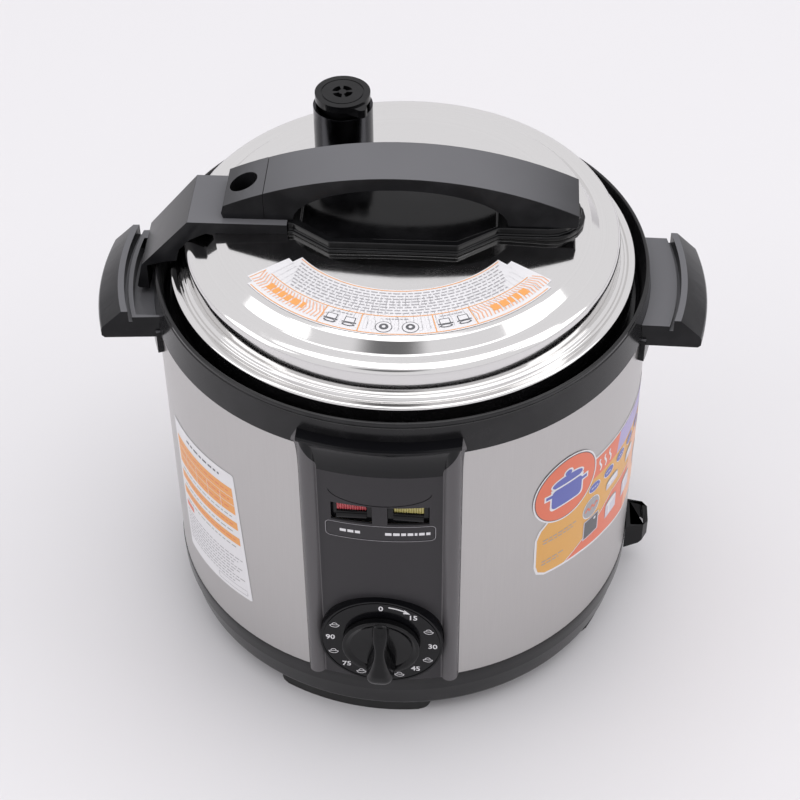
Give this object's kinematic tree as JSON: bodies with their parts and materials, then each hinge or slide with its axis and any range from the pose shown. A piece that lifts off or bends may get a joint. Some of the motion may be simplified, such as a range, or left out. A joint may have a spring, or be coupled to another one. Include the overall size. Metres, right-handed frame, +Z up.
{
  "type": "electric pressure cooker",
  "caption": "Round electric pressure cooker with steel sleeve, black collar and base, arched lid handle with locking arm, exhaust valve, side handles and a timer-dial control panel.",
  "frame": {"origin": "on the floor plane, on the vertical axis of the pots and the sleeve", "axes": "+Z up along the axis of the pots, -Y towards the control panel, +X towards the right-hand handle as seen from the panel"},
  "size_m": [0.335, 0.298, 0.3042],
  "materials": {
    "steel_brushed": "fine vertical brushing",
    "steel_mirror": "polished",
    "steel_plain": "plain sheet",
    "steel_dark": "heat-darkened",
    "aluminium_cast": "as cast, machined face",
    "aluminium_pot": "spun, satin",
    "black_gloss": "glossy",
    "black_satin": "satin",
    "black_chrome": "dark plated",
    "rubber_black": "matt",
    "silicone": "translucent white",
    "zinc": "zinc plated",
    "nickel": "nickel plated",
    "red_lens": "ribbed lens",
    "yellow_lens": "ribbed lens",
    "lamp_glass": "clear glass",
    "ceramic": "matt",
    "glass_fibre": "woven mat",
    "wire_red": "insulated wire"
  },
  "bodies": {
    "housing": {"feet": "rubber_black", "bottom_cover": "black_satin", "base_ring": "black_satin", "base_screws": "zinc", "sleeve": "steel_brushed", "collar": "black_satin", "left_handle": "black_gloss", "right_handle": "black_gloss", "handle_screws": "zinc", "control_panel": "black_gloss", "lamp_housing": "black_gloss", "heat_lamp_lens": "red_lens", "warm_lamp_lens": "yellow_lens", "neon_lamps": "lamp_glass", "timer_unit": "steel_plain", "timer_screws": "zinc", "power_inlet": "black_satin", "inlet_pins": "nickel", "ladle_bracket": "black_gloss", "outer_pot": "steel_plain", "tie_bolts": "zinc", "tie_nuts": "zinc", "spring_plate": "steel_plain", "heating_plate": "aluminium_cast", "heating_element": "steel_dark", "sensor_bracket": "steel_plain", "sensor_spring": "steel_plain", "thermal_fuse": "ceramic", "pressure_switch": "black_satin", "insulation": "glass_fibre", "wiring": "wire_red"},
    "timer": {"timer_knob": "black_gloss", "timer_shaft": "zinc"},
    "sensor": {"sensor_cup": "aluminium_cast"},
    "pot": {"inner_pot": "aluminium_pot"},
    "seal": {"sealing_ring": "silicone"},
    "lid": {"lid_shell": "steel_mirror", "seal_carrier": "steel_plain", "lid_handle_base": "black_gloss", "lid_handle_grip": "black_gloss", "float_housing": "black_gloss", "lid_arm": "black_gloss", "lid_screws": "zinc", "vent_tube": "nickel", "vent_nut": "zinc", "steam_strainer": "steel_plain", "valve_guard": "black_chrome"},
    "weight": {"valve_weight": "nickel"},
    "valve": {"valve_cap": "black_gloss"},
    "float": {"float_pin": "black_gloss", "float_seal": "silicone"}
  },
  "joints": [
    {"name": "timer_turn", "type": "hinge", "parent": "housing", "child": "timer", "pos_m": [-0.00466, -0.14042, 0.0745], "axis": [0.0332, 0.9995, 0], "range_deg": [0, 300]},
    {"name": "sensor_press", "type": "slide", "parent": "housing", "child": "sensor", "axis": [0, 0, 1], "range_m": [-0.003, 0], "stiffness_N_per_m": 800, "springref_m": 0.004, "deforming": ["sensor_spring"]},
    {"name": "pot_lift", "type": "slide", "parent": "housing", "child": "pot", "axis": [0, 0, 1], "range_m": [0, 0.18]},
    {"name": "lid_lift", "type": "slide", "parent": "pot", "child": "seal", "axis": [0, 0, 1], "range_m": [0, 0.2]},
    {"name": "lid_turn", "type": "hinge", "parent": "seal", "child": "lid", "pos_m": [0, 0, 0.24], "axis": [0, 0, 1], "range_deg": [0, 10]},
    {"name": "valve_lift", "type": "slide", "parent": "lid", "child": "weight", "axis": [0, 0, 1], "range_m": [0, 0.003]},
    {"name": "valve_turn", "type": "hinge", "parent": "weight", "child": "valve", "pos_m": [-0.0353, 0.0544, 0.29], "axis": [0, 0, 1], "range_deg": [0, 90]},
    {"name": "float_rise", "type": "slide", "parent": "lid", "child": "float", "axis": [0, 0, 1], "range_m": [0, 0.005]}
  ]
}
